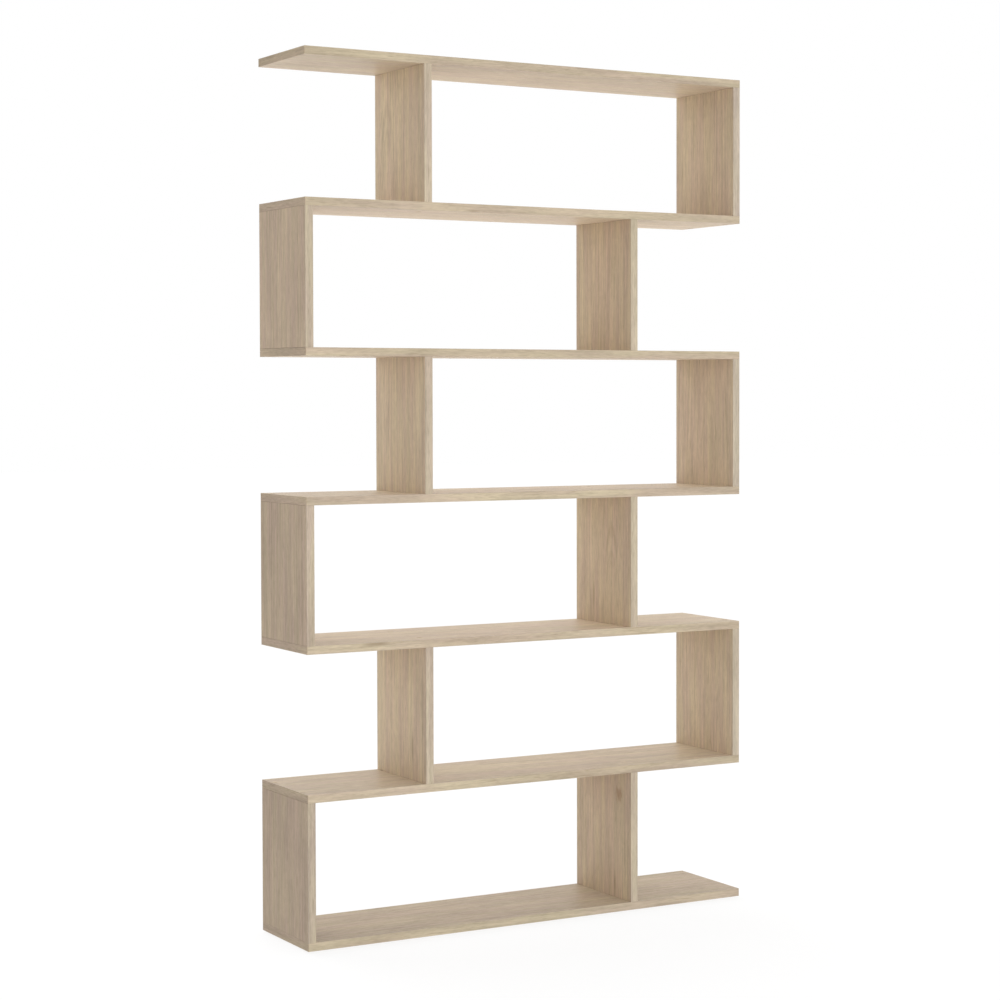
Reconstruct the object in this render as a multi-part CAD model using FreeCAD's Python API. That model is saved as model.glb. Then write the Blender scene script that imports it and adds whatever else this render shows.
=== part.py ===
import FreeCAD, Part
import math
import os

# A zigzag bookshelf: long shelves, with two short uprights in each bay between them.
# Every second bay is turned about, so the open pockets change sides from bay to bay.
# Sizes are in millimetres: X runs along the shelves, Y from front to back and Z up.
# The origin lies on the floor, under the middle of the shelf.

# Boards: faced chipboard, all of one thickness
bay_count = 6
shelf_length = 1100.0
shelf_depth = 250.0
board_thickness = 18.0
bay_height = 299.0
pocket_width = 280.0

# Edge strips glued to the narrow sides of the boards, with their outer corners eased
edging_thickness = 0.8
edging_land = 0.3

# Countersunk joint screws, driven through a shelf into the end of an upright
screw_length = 50.0
screw_diameter = 7.0
screw_head_rim = 1.5
screw_head_height = 3.0
screw_thread_depth = 1.0
screw_taper = 1.5
screw_edge_inset = 50.0
screw_clearance = 0.1
pilot_end_gap = 2.0

# Dowels, half way between the two screws of a joint
dowel_diameter = 8.0
dowel_length = 30.0
dowel_clearance = 0.1
dowel_end_gap = 0.5
dowel_floor = 7.5

# Thin caps stuck over the screw heads
cap_overlap = 1.5
cap_thickness = 0.5

# Round floor glides, each moulded on a nail
glide_columns = 3
glide_diameter = 22.0
glide_height = 4.0
glide_chamfer = 1.0
glide_edge_inset = 40.0
nail_diameter = 2.4
nail_seat_floor = 1.5
nail_clearance = 0.05
nail_end_gap = 0.5
nail_floor = 6.0

# Angle bracket that ties the top shelf to a wall, beside the top bay's divider
bracket_width = 30.0
bracket_shelf_leg = 30.0
bracket_wall_leg = 30.0
bracket_steel = 2.0
bracket_bend_radius = 2.0
bracket_side_gap = 6.0
bracket_hole_margin = 11.0
wall_hole_diameter = 6.0

# Pan-head screws that hold the bracket under the top shelf
bracket_screw_diameter = 3.5
bracket_screw_head_rim = 1.75
bracket_screw_head_height = 2.2
bracket_screw_spacing = 14.0
bracket_screw_clearance = 0.3
bracket_pilot_clearance = 0.05
bracket_screw_floor = 5.0
bracket_pilot_end_gap = 1.0

# Small round pieces have this many flats, and those that show from outside have more
hidden_flat_count = 8
cap_flat_count = 12
glide_flat_count = 16

# One overrun serves every cut
overrun = 1.0

# Worked out from the sizes above
half_length = shelf_length / 2
half_depth = shelf_depth / 2
bay_pitch = bay_height + board_thickness
inner_length = shelf_length - 2 * edging_thickness
inner_depth = shelf_depth - 2 * edging_thickness
edging_chamfer = edging_thickness - edging_land
screw_head_diameter = screw_diameter + 2 * screw_head_rim
screw_core_diameter = screw_diameter - 2 * screw_thread_depth
screw_places = (screw_edge_inset - half_depth, half_depth - screw_edge_inset)
dowel_in_shelf = board_thickness - dowel_floor - dowel_end_gap
dowel_in_upright = dowel_length - dowel_in_shelf
end_panel_x = half_length - board_thickness / 2
divider_x = half_length - pocket_width - board_thickness / 2


def shelf_bottom(level):
    """Height of the underside of a shelf, counted from the floor up."""
    return glide_height + level * bay_pitch


def turned(profile, flat_count=hidden_flat_count):
    """A small round piece along Z, from rings given as (height, diameter), drawn with flats."""
    rings = []
    for height, diameter in profile:
        ring = []
        for corner in range(flat_count):
            angle = 2 * math.pi * corner / flat_count + math.pi / flat_count
            across = diameter / 2
            ring.append(FreeCAD.Vector(across * math.cos(angle), across * math.sin(angle), height))
        rings.append(ring)
    faces = [Part.Face(Part.makePolygon(ring + ring[:1])) for ring in (rings[0], rings[-1])]
    for lower, upper in zip(rings, rings[1:]):
        for corner in range(flat_count):
            after = (corner + 1) % flat_count
            outline = [lower[corner], lower[after], upper[after], upper[corner], lower[corner]]
            faces.append(Part.Face(Part.makePolygon(outline)))
    solid = Part.makeSolid(Part.makeShell(faces))
    if solid.Volume < 0:
        solid.reverse()
    return solid


def box(size_x, size_y, size_z, x, y, z):
    """A block with the middle of its underside at a point."""
    corner = FreeCAD.Vector(x - size_x / 2, y - size_y / 2, z)
    return Part.makeBox(size_x, size_y, size_z, corner)


def moved(shape, x, y, z):
    """A copy of a shape, shifted."""
    copy = shape.copy()
    copy.translate(FreeCAD.Vector(x, y, z))
    return copy


def turned_about(shape, axis, degrees):
    """A copy of a shape, turned about an axis through the origin."""
    copy = shape.copy()
    copy.rotate(FreeCAD.Vector(0, 0, 0), axis, degrees)
    return copy


along_x = FreeCAD.Vector(1, 0, 0)
along_y = FreeCAD.Vector(0, 1, 0)
along_z = FreeCAD.Vector(0, 0, 1)


class Joint:
    """A butt joint: an upright at x meets a shelf in the plane at height z.

    Pieces are drawn for a shelf that lies on the upright, and are turned over for one below it.
    """

    def __init__(self, x, z, shelf_above):
        self.x = x
        self.z = z
        self.shelf_above = shelf_above

    def place(self, shape, y):
        if not self.shelf_above:
            shape = turned_about(shape, along_x, 180)
        return moved(shape, self.x, y, self.z)

    def place_at_screws(self, shape):
        return [self.place(shape, y) for y in screw_places]


class Upright:
    """A short board that stands on the shelf at a level and carries the next one."""

    def __init__(self, name, x, level):
        self.name = name
        self.x = x
        self.level = level
        self.bottom = shelf_bottom(level) + board_thickness
        self.lower_joint = Joint(x, self.bottom, False)
        self.upper_joint = Joint(x, self.bottom + bay_height, True)


def list_uprights():
    """Two uprights in each bay, at the left end and near the right, or the other way about."""
    uprights = []
    for level in range(bay_count):
        bay = f"bay_{level + 1}"
        if level % 2 == 0:
            uprights.append(Upright(f"{bay}_left_end_panel", -end_panel_x, level))
            uprights.append(Upright(f"{bay}_right_divider", divider_x, level))
        else:
            uprights.append(Upright(f"{bay}_left_divider", -divider_x, level))
            uprights.append(Upright(f"{bay}_right_end_panel", end_panel_x, level))
    return uprights


def shelf_name(level):
    """Name of a shelf, counted from the floor up."""
    if level == 0:
        return "bottom_shelf"
    if level == bay_count:
        return "top_shelf"
    return f"shelf_{level + 1}"


# Joint pieces and their holes, with the joint's plane at height 0 and the shelf above it
def joint_screw():
    return turned(
        [
            (board_thickness, screw_head_diameter),
            (board_thickness - screw_head_height, screw_diameter),
            (screw_taper, screw_diameter),
            (0, screw_core_diameter),
            (board_thickness - screw_length, screw_core_diameter),
        ]
    )


def shelf_screw_hole():
    room = 2 * screw_clearance
    return turned(
        [
            (board_thickness + overrun, screw_head_diameter + room),
            (board_thickness, screw_head_diameter + room),
            (board_thickness - screw_head_height, screw_diameter + room),
            (-overrun, screw_diameter + room),
        ]
    )


def upright_screw_hole():
    width = screw_core_diameter + 2 * screw_clearance
    depth = screw_length - board_thickness + pilot_end_gap
    return turned([(overrun, width), (-depth, width)])


def dowel():
    return turned([(dowel_in_shelf, dowel_diameter), (-dowel_in_upright, dowel_diameter)])


def shelf_dowel_hole():
    width = dowel_diameter + 2 * dowel_clearance
    return turned([(dowel_in_shelf + dowel_end_gap, width), (-overrun, width)])


def upright_dowel_hole():
    width = dowel_diameter + 2 * dowel_clearance
    return turned([(overrun, width), (-dowel_in_upright - dowel_end_gap, width)])


def screw_cap():
    width = screw_head_diameter + 2 * cap_overlap
    return turned([(board_thickness, width), (board_thickness + cap_thickness, width)], cap_flat_count)


# Floor glides and their nails, with the floor at height 0
def glide_places():
    """Middles of the glides: rows near the front and back, columns from end to end."""
    reach_x = half_length - glide_edge_inset
    reach_y = half_depth - glide_edge_inset
    step = 2 * reach_x / (glide_columns - 1)
    return [(column * step - reach_x, y) for column in range(glide_columns) for y in (-reach_y, reach_y)]


def floor_glide():
    tread_diameter = glide_diameter - 2 * glide_chamfer
    profile = [(0, tread_diameter), (glide_chamfer, glide_diameter), (glide_height, glide_diameter)]
    width = nail_diameter + 2 * nail_clearance
    nail_seat = turned([(nail_seat_floor, width), (glide_height + overrun, width)])
    return turned(profile, glide_flat_count).cut(nail_seat)


def glide_nail():
    top = glide_height + board_thickness - nail_floor - nail_end_gap
    return turned([(nail_seat_floor, nail_diameter), (top, nail_diameter)])


def shelf_nail_hole():
    width = nail_diameter + 2 * nail_clearance
    top = glide_height + board_thickness - nail_floor
    return turned([(glide_height - overrun, width), (top, width)])


# The bracket's middle is at X 0, its corner on the back plane and under the top shelf
bracket_x = -divider_x + board_thickness / 2 + bracket_side_gap + bracket_width / 2
bracket_z = shelf_bottom(bay_count)
bracket_screw_y = bracket_hole_margin - bracket_shelf_leg
bracket_screw_places = (-bracket_screw_spacing / 2, bracket_screw_spacing / 2)


def wall_bracket():
    """A bent steel strip: one leg under the shelf, the other down the back plane."""
    outer_radius = bracket_bend_radius + bracket_steel
    # How far the middle of a bend lies in from its corner, as a share of the bend's radius
    arc_share = 1 - math.sqrt(1 / 2)
    x = -bracket_width / 2
    outer_start = FreeCAD.Vector(x, -outer_radius, 0)
    outer_middle = FreeCAD.Vector(x, -outer_radius * arc_share, -outer_radius * arc_share)
    outer_end = FreeCAD.Vector(x, 0, -outer_radius)
    wall_foot = FreeCAD.Vector(x, 0, -bracket_wall_leg)
    wall_foot_inside = FreeCAD.Vector(x, -bracket_steel, -bracket_wall_leg)
    inner_start = FreeCAD.Vector(x, -bracket_steel, -outer_radius)
    inner_reach = bracket_steel + bracket_bend_radius * arc_share
    inner_middle = FreeCAD.Vector(x, -inner_reach, -inner_reach)
    inner_end = FreeCAD.Vector(x, -outer_radius, -bracket_steel)
    shelf_tip_under = FreeCAD.Vector(x, -bracket_shelf_leg, -bracket_steel)
    shelf_tip = FreeCAD.Vector(x, -bracket_shelf_leg, 0)
    outline = Part.Wire(
        [
            Part.Arc(outer_start, outer_middle, outer_end).toShape(),
            Part.makeLine(outer_end, wall_foot),
            Part.makeLine(wall_foot, wall_foot_inside),
            Part.makeLine(wall_foot_inside, inner_start),
            Part.Arc(inner_start, inner_middle, inner_end).toShape(),
            Part.makeLine(inner_end, shelf_tip_under),
            Part.makeLine(shelf_tip_under, shelf_tip),
            Part.makeLine(shelf_tip, outer_start),
        ]
    )
    strip = Part.Face(outline).extrude(along_x * bracket_width)
    wall_hole_z = bracket_hole_margin - bracket_wall_leg
    cut_length = bracket_steel + 2 * overrun
    wall_hole_start = FreeCAD.Vector(0, -bracket_steel - overrun, wall_hole_z)
    holes = [Part.makeCylinder(wall_hole_diameter / 2, cut_length, wall_hole_start, along_y)]
    screw_width = bracket_screw_diameter + 2 * bracket_screw_clearance
    screw_hole = turned([(-bracket_steel - overrun, screw_width), (overrun, screw_width)])
    holes += [moved(screw_hole, place, bracket_screw_y, 0) for place in bracket_screw_places]
    return strip.cut(holes)


def bracket_screw():
    head_diameter = bracket_screw_diameter + 2 * bracket_screw_head_rim
    head_bottom = -bracket_steel - bracket_screw_head_height
    head = turned([(head_bottom, head_diameter), (-bracket_steel, head_diameter)])
    tip = board_thickness - bracket_screw_floor - bracket_pilot_end_gap
    shank = turned([(-bracket_steel, bracket_screw_diameter), (tip, bracket_screw_diameter)])
    return head.fuse(shank).removeSplitter()


def bracket_screw_pilot():
    width = bracket_screw_diameter + 2 * bracket_pilot_clearance
    return turned([(-overrun, width), (board_thickness - bracket_screw_floor, width)])


def at_bracket_screws(shape):
    """Copies of a bracket screw, or of its hole, where the bracket is."""
    y = half_depth + bracket_screw_y
    return [moved(shape, bracket_x + x, y, bracket_z) for x in bracket_screw_places]


# Edge strips: along X, outer face at Y 0, with the middle of that face at the origin
def edge_strip(length, ends_eased):
    eased = edging_chamfer
    half = board_thickness / 2
    section = [
        (eased, -half),
        (edging_thickness, -half),
        (edging_thickness, half),
        (eased, half),
        (0, half - eased),
        (0, eased - half),
    ]
    points = [FreeCAD.Vector(-length / 2, y, z) for y, z in section]
    strip = Part.Face(Part.makePolygon(points + points[:1])).extrude(along_x * length)
    if ends_eased:
        outer = [edge for edge in strip.Edges if edge.BoundBox.YMax < eased / 2]
        strip = strip.makeChamfer(eased, [edge for edge in outer if edge.BoundBox.XLength < eased])
    return strip


def shelf_edging(level):
    """Strips round a shelf: the long ones cover the ends of the short ones."""
    middle = shelf_bottom(level) + board_thickness / 2
    long_strip = edge_strip(shelf_length, True)
    end_strip = edge_strip(inner_depth, False)
    return [
        moved(long_strip, 0, -half_depth, middle),
        moved(turned_about(long_strip, along_z, 180), 0, half_depth, middle),
        moved(turned_about(end_strip, along_z, -90), -half_length, 0, middle),
        moved(turned_about(end_strip, along_z, 90), half_length, 0, middle),
    ]


def upright_edging(upright):
    """Strips on the front and back of an upright."""
    strip = turned_about(edge_strip(bay_height, False), along_y, 90)
    middle = upright.bottom + bay_height / 2
    return [
        moved(strip, upright.x, -half_depth, middle),
        moved(turned_about(strip, along_z, 180), upright.x, half_depth, middle),
    ]


def shelf_board(level, uprights):
    """A shelf without its edging, drilled for the uprights below and above it."""
    board = box(inner_length, inner_depth, board_thickness, 0, 0, shelf_bottom(level))
    joints = [upright.upper_joint for upright in uprights if upright.level == level - 1]
    joints += [upright.lower_joint for upright in uprights if upright.level == level]
    holes = []
    for joint in joints:
        holes += joint.place_at_screws(shelf_screw_hole())
        holes.append(joint.place(shelf_dowel_hole(), 0))
    if level == 0:
        holes += [moved(shelf_nail_hole(), x, y, 0) for x, y in glide_places()]
    if level == bay_count:
        holes += at_bracket_screws(bracket_screw_pilot())
    return board.cut(holes)


def upright_board(upright):
    """An upright without its edging, drilled at both ends."""
    board = box(board_thickness, inner_depth, bay_height, upright.x, 0, upright.bottom)
    holes = []
    for joint in (upright.lower_joint, upright.upper_joint):
        holes += joint.place_at_screws(upright_screw_hole())
        holes.append(joint.place(upright_dowel_hole(), 0))
    return board.cut(holes)


def build():
    """Every node's name, with its solids."""
    nodes = {}
    uprights = list_uprights()
    for level in range(bay_count + 1):
        nodes[shelf_name(level)] = [shelf_board(level, uprights)]
        nodes[f"{shelf_name(level)}_edging"] = shelf_edging(level)
    for upright in uprights:
        nodes[upright.name] = [upright_board(upright)]
        nodes[f"{upright.name}_edging"] = upright_edging(upright)
    joints = [joint for upright in uprights for joint in (upright.lower_joint, upright.upper_joint)]
    floor_side = shelf_bottom(0) + board_thickness
    capped = [joint for joint in joints if joint.z > floor_side]
    nodes["joint_screws"] = [screw for joint in joints for screw in joint.place_at_screws(joint_screw())]
    nodes["joint_dowels"] = [joint.place(dowel(), 0) for joint in joints]
    nodes["screw_caps"] = [cap for joint in capped for cap in joint.place_at_screws(screw_cap())]
    nodes["floor_glides"] = [moved(floor_glide(), x, y, 0) for x, y in glide_places()]
    nodes["glide_nails"] = [moved(glide_nail(), x, y, 0) for x, y in glide_places()]
    nodes["wall_bracket"] = [moved(wall_bracket(), bracket_x, half_depth, bracket_z)]
    nodes["bracket_screws"] = at_bracket_screws(bracket_screw())
    return nodes


os.makedirs("parts", exist_ok=True)
for name, solids in build().items():
    shape = solids[0] if len(solids) == 1 else Part.makeCompound(solids)
    shape.exportStep(f"parts/{name}.step")
    print(name, len(shape.Solids), "solids", round(shape.Volume), "mm3")
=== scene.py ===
# %% [markdown]
# # A zigzag bookshelf
# Seven long shelves and twelve short uprights make this open bookshelf. The boards are chipboard
# faced with a pale oak print, and every narrow side that shows has a glued-on strip of the same
# print. The boards come from the construction model in metres, so nothing here moves or resizes
# them. This lesson gives them their finish, models the small fittings, and sets up the picture.

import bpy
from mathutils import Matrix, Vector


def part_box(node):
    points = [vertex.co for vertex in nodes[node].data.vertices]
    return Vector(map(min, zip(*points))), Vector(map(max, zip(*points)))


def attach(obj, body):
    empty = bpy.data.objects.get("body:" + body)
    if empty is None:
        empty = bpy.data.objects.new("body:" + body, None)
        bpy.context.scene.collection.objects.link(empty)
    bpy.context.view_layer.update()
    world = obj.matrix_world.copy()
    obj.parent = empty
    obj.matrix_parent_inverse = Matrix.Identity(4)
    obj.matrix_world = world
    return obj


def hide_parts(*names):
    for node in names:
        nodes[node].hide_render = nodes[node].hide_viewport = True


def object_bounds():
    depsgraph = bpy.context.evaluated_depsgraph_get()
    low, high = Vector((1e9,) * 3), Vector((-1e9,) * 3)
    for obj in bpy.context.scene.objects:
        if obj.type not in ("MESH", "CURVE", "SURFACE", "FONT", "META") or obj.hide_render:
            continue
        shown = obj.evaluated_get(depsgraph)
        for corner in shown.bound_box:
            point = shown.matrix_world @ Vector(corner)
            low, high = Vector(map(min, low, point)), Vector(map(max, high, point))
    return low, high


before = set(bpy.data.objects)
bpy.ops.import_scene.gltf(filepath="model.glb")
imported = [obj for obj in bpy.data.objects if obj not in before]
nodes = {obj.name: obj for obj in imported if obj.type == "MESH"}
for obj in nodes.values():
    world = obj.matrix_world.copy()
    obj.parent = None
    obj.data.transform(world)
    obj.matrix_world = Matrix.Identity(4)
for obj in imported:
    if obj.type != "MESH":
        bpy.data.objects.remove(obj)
cad_low, cad_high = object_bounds()
print("pieces loaded:", len(nodes))
print("box:", [round(v, 4) for v in cad_low], "to", [round(v, 4) for v in cad_high])

# %% [markdown]
# ## The camera
# The picture looks at the shelf from its left front, with the eye a little above the middle of
# its height and a long lens, so that upright lines stay almost parallel. The shelf isn't in the
# middle of what the lens looks at, so the lens is shifted a little sideways and a touch down, as on
# a view camera. Turning the camera instead would change how the lines converge.

# %% Place the camera
import bpy
import math

camera_place = (-2.6153, -4.8675, 1.1969)
camera_turn = math.radians(31.607)
camera_dip = math.radians(1.862)
lens_length = 87.27
picture_shift = (-0.15, -0.03)

bpy.ops.object.select_all(action="DESELECT")
camera_angles = (math.pi / 2 - camera_dip, 0, -camera_turn)
bpy.ops.object.camera_add(location=camera_place, rotation=camera_angles)
camera = bpy.context.object
camera.name = "camera"
camera.data.lens = lens_length
camera.data.shift_x, camera.data.shift_y = picture_shift
bpy.context.scene.camera = camera
bpy.context.scene.view_settings.view_transform = "Standard"
print("camera at", camera_place, "with a lens of", lens_length, "mm")

# %% [markdown]
# ## The studio
# The shelf stands in a white studio with a pale floor. The wall in front of it is bright, the one
# behind shines mostly from high up and low down, the left one is dim and the right one about twice
# as bright, and two soft lamps help from the front and the back. Fronts and tops come out bright, and
# left sides about a quarter darker, as in the picture. What the camera sees past the floor is plain
# white, and so is what glossy surfaces mirror, without any more light falling on the shelf.
# Finishes and light are both built from shader nodes, so a few helpers for those come first.

# %% Helpers for shader nodes
def add(tree, kind, sockets=None, **options):
    """A new node with its options set, and its sockets linked or filled in."""
    made = tree.nodes.new("ShaderNode" + kind)
    for option, value in options.items():
        setattr(made, option, value)
    for key, source in (sockets or {}).items():
        if isinstance(source, bpy.types.NodeSocket):
            tree.links.new(source, made.inputs[key])
        else:
            made.inputs[key].default_value = source
    return made


def reckon(tree, operation, first, second=0.0):
    """A sum, product or comparison of two numbers."""
    return add(tree, "Math", {0: first, 1: second}, operation=operation).outputs[0]


def ease(tree, value, low, high, low_result=0.0, high_result=1.0):
    """A smooth step from one result to another while a value goes from low to high."""
    sockets = {"Value": value, 1: low, 2: high, 3: low_result, 4: high_result}
    return add(tree, "MapRange", sockets, interpolation_type="SMOOTHSTEP").outputs[0]


def seen_directly(tree):
    """1 for a ray that shows a surface to the camera, straight or in a mirror or glass, and else 0."""
    rays = add(tree, "LightPath").outputs
    straight = reckon(tree, "MAXIMUM", rays["Is Camera Ray"], rays["Is Glossy Ray"])
    return reckon(tree, "MAXIMUM", straight, rays["Is Transmission Ray"])


print("node helpers ready")

# %% Light the walls
front_glow = 0.91
back_glow = (0.1, 3.0)
back_glow_steepness = 0.55
side_glow = 0.43
right_glow = 0.42
glow_narrowing = 4.0
plain_white = (1.0, 1.0, 1.0, 1.0)

world = bpy.data.worlds.new("studio_walls")
world.use_nodes = True
bpy.context.scene.world = world
walls = world.node_tree
walls.nodes.clear()
bearing = add(walls, "TexCoord").outputs["Generated"]
level = add(walls, "VectorMath", {0: bearing, 1: (1, 1, 0)}, operation="MULTIPLY").outputs[0]
compass = add(walls, "VectorMath", {0: level}, operation="NORMALIZE").outputs[0]
rightward = add(walls, "SeparateXYZ", {0: compass}).outputs["X"]
backward = add(walls, "SeparateXYZ", {0: compass}).outputs["Y"]
forward = reckon(walls, "MULTIPLY", backward, -1.0)
steepness = reckon(walls, "ABSOLUTE", add(walls, "SeparateXYZ", {0: bearing}).outputs["Z"])
back_strength = ease(walls, steepness, 0.0, back_glow_steepness, *back_glow)
glow = side_glow
for heading, strength in ((forward, front_glow), (backward, back_strength), (rightward, right_glow)):
    facing = reckon(walls, "POWER", reckon(walls, "MAXIMUM", heading, 0.0), glow_narrowing)
    glow = reckon(walls, "ADD", reckon(walls, "MULTIPLY", facing, strength), glow)
lit = add(walls, "Background", {"Color": plain_white, "Strength": glow}).outputs[0]
shown = add(walls, "Background", {"Color": plain_white, "Strength": 1.0}).outputs[0]
either = add(walls, "MixShader", {0: seen_directly(walls), 1: lit, 2: shown}).outputs[0]
add(walls, "OutputWorld", {"Surface": either})
print("walls glow: front", front_glow, "back", back_glow, "sides", side_glow, "and right", right_glow)

# %% Lay the floor
floor_size = 60.0
floor_white = (0.98, 0.98, 0.98, 1.0)
floor_glow_share = 0.85

bpy.ops.mesh.primitive_plane_add(size=floor_size, location=(0, 0, cad_low.z))
floor = bpy.context.object
floor.name = "studio_floor"
paper = bpy.data.materials.new("studio_floor_paper")
paper.use_nodes = True
sheet = paper.node_tree
sheet.nodes.clear()
matt = add(sheet, "BsdfDiffuse", {"Color": floor_white}).outputs[0]
bright = add(sheet, "Emission", {"Color": plain_white, "Strength": 1.0}).outputs[0]
glow_share = reckon(sheet, "MULTIPLY", seen_directly(sheet), floor_glow_share)
backlit = add(sheet, "MixShader", {0: glow_share, 1: matt, 2: bright}).outputs[0]
add(sheet, "OutputMaterial", {"Surface": backlit})
floor.data.materials.append(paper)
floor.visible_diffuse = False
floor.visible_shadow = False
print("floor:", floor_size, "m square")

# %% Hang two soft lamps
lamp_distance = 3.2
lamp_height = 1.25
lamp_width = 1.6
lamp_powers = {"front_lamp": 20.0, "back_lamp": 10.0}

for name, power in lamp_powers.items():
    side = -lamp_distance if name == "front_lamp" else lamp_distance
    tilt = math.copysign(math.pi / 2, -side)
    bpy.ops.object.light_add(type="AREA", location=(0, side, lamp_height), rotation=(tilt, 0, 0))
    lamp = bpy.context.object
    lamp.name = name
    lamp.data.size = lamp_width
    lamp.data.energy = power
    lamp.visible_camera = False
    lamp.visible_glossy = False
    print(name, "gives", power, "W from", side, "m")

# %% [markdown]
# ## The oak print
# A facing of this kind is a printed sheet: straight, pale oak with fine pores, a few darker streaks,
# here and there a knot and the pointed arches of a plain-sawn board. Instead of a photograph, the
# print is worked out from noise that is stretched along the grain. The arches come from tree rings:
# a flat cut through slightly tapered rings. One group holds the print, and each board reads it at
# a place of its own, so no two boards are alike.

# %% Helpers for the print
soft_limits = (0.3, 0.7)


def streaks(tree, place, length, width, detail=2.0):
    """Soft noise from 0 to 1 whose patches are so long along the grain and so wide across it."""
    finer = (1 / length, 1 / width, 1 / width)
    stretched = add(tree, "VectorMath", {0: place, 1: finer}, operation="MULTIPLY").outputs[0]
    noise = add(tree, "TexNoise", {"Vector": stretched, "Scale": 1.0, "Detail": detail})
    return noise.outputs["Fac"]


def swing(tree, noise, limits, strength):
    """A number that swings from minus to plus a strength while a noise crosses its limits."""
    return ease(tree, noise, *limits, -strength, strength)


def blend_colours(tree, share, first, second, how="MIX"):
    """A colour between two others."""
    mix = add(tree, "Mix", {0: share, 6: first, 7: second}, data_type="RGBA", blend_type=how)
    return mix.outputs[2]


def distance_on_face(tree, place, middle, squeeze):
    """How far a place lies from a middle on the board's face, with the grain's way squeezed."""
    away = add(tree, "VectorMath", {0: place, 1: middle}, operation="SUBTRACT").outputs[0]
    squeezed = add(tree, "VectorMath", {0: away, 1: (squeeze, 1, 0)}, operation="MULTIPLY").outputs[0]
    length = add(tree, "VectorMath", {0: squeezed}, operation="LENGTH").outputs["Value"]
    across = add(tree, "SeparateXYZ", {0: away}).outputs["Y"]
    return length, across


print("print helpers ready")

# %% Start the print's group
print_inputs = {
    "Place": "Vector",
    "Board": "Vector",
    "Knot": "Vector",
    "Dash": "Vector",
    "Tint": "Color",
}
print_outputs = {"Colour": "Color", "Fibre": "Float", "Pores": "Float"}

oak_print = bpy.data.node_groups.new("oak_print", "ShaderNodeTree")
for label, sort in print_inputs.items():
    oak_print.interface.new_socket(label, in_out="INPUT", socket_type=f"NodeSocket{sort}")
for label, sort in print_outputs.items():
    oak_print.interface.new_socket(label, in_out="OUTPUT", socket_type=f"NodeSocket{sort}")
given = oak_print.nodes.new("NodeGroupInput").outputs
print("print takes", list(print_inputs), "and gives", list(print_outputs))

# %% Grain that sways and parts round a knot
sway_size = (0.45, 0.09)
sway_reach = 0.014
knot_squeeze = 0.45
knot_reach = 0.030
knot_parting = 0.55

wander = streaks(oak_print, given["Place"], *sway_size, detail=1.0)
sway = reckon(oak_print, "MULTIPLY", reckon(oak_print, "SUBTRACT", wander, 0.5), sway_reach)
from_knot, across_knot = distance_on_face(oak_print, given["Board"], given["Knot"], knot_squeeze)
near_knot = ease(oak_print, from_knot, 0.0, knot_reach, knot_parting, 0.0)
parting = reckon(oak_print, "MULTIPLY", across_knot, near_knot)
bend = add(oak_print, "CombineXYZ", {"Y": reckon(oak_print, "SUBTRACT", sway, parting)}).outputs[0]
grain = add(oak_print, "VectorMath", {0: given["Place"], 1: bend}, operation="ADD").outputs[0]
print("grain sways by up to", sway_reach / 2, "m")

# %% Tree rings, cut flat
trunk_taper = 0.10
ring_fineness = 150.0
ring_limits = (0.42, 0.72)
ring_patch_size = (0.24, 0.02)
ring_patch_limits = (0.35, 0.65)
ring_strengths = (0.12, 0.55)

axes = add(oak_print, "SeparateXYZ", {0: grain}).outputs
along_board = add(oak_print, "SeparateXYZ", {0: given["Board"]}).outputs["X"]
deeper = reckon(oak_print, "MULTIPLY", along_board, trunk_taper)
depth = reckon(oak_print, "ADD", axes["Z"], deeper)
cut = add(oak_print, "CombineXYZ", {"Y": axes["Y"], "Z": depth}).outputs[0]
radius = add(oak_print, "VectorMath", {0: cut}, operation="LENGTH").outputs["Value"]
ring_sockets = {"W": radius, "Scale": ring_fineness, "Detail": 2.0}
rings = add(oak_print, "TexNoise", ring_sockets, noise_dimensions="1D").outputs["Fac"]
ring_patches = streaks(oak_print, grain, *ring_patch_size)
ring_strength = ease(oak_print, ring_patches, *ring_patch_limits, *ring_strengths)
late_wood = reckon(oak_print, "MULTIPLY", ease(oak_print, rings, *ring_limits), ring_strength)
print("about", round(ring_fineness), "rings to a metre")

# %% Tone, bands and fibres
tone_size = (0.28, 0.024)
tone_limits = (0.34, 0.66)
shade_limits = (0.28, 0.72)
band_size = (0.32, 0.0065)
band_strength = 0.085
blotch_size = (0.16, 0.045)
blotch_strength = 0.06
fibre_size = (0.020, 0.0018)
fibre_limits = (0.25, 0.75)
fibre_strength = 0.10

tone = ease(oak_print, streaks(oak_print, grain, *tone_size), *tone_limits)
bands = swing(oak_print, streaks(oak_print, grain, *band_size), shade_limits, band_strength)
blotch_noise = streaks(oak_print, given["Place"], *blotch_size)
blotches = swing(oak_print, blotch_noise, shade_limits, blotch_strength)
fibre = streaks(oak_print, grain, *fibre_size, detail=3.0)
fibre_shade = swing(oak_print, fibre, fibre_limits, fibre_strength)
print("bands are", band_size[1], "m wide and fibres", fibre_size[1], "m")

# %% Pores and short dark streaks
pore_size = (0.022, 0.0009)
pore_limits = (0.60, 0.70)
pore_strength = 0.42
short_streak_size = (0.06, 0.0032)
short_streak_limits = (0.62, 0.76)
short_streak_strength = 0.58

pores = ease(oak_print, streaks(oak_print, grain, *pore_size, detail=1.0), *pore_limits)
pore_share = reckon(oak_print, "MULTIPLY", pores, pore_strength)
short_noise = streaks(oak_print, grain, *short_streak_size)
short_streaks = ease(oak_print, short_noise, *short_streak_limits, 0.0, short_streak_strength)
print("pores are", pore_size[0], "m long and dark streaks", short_streak_size[0], "m")

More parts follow.
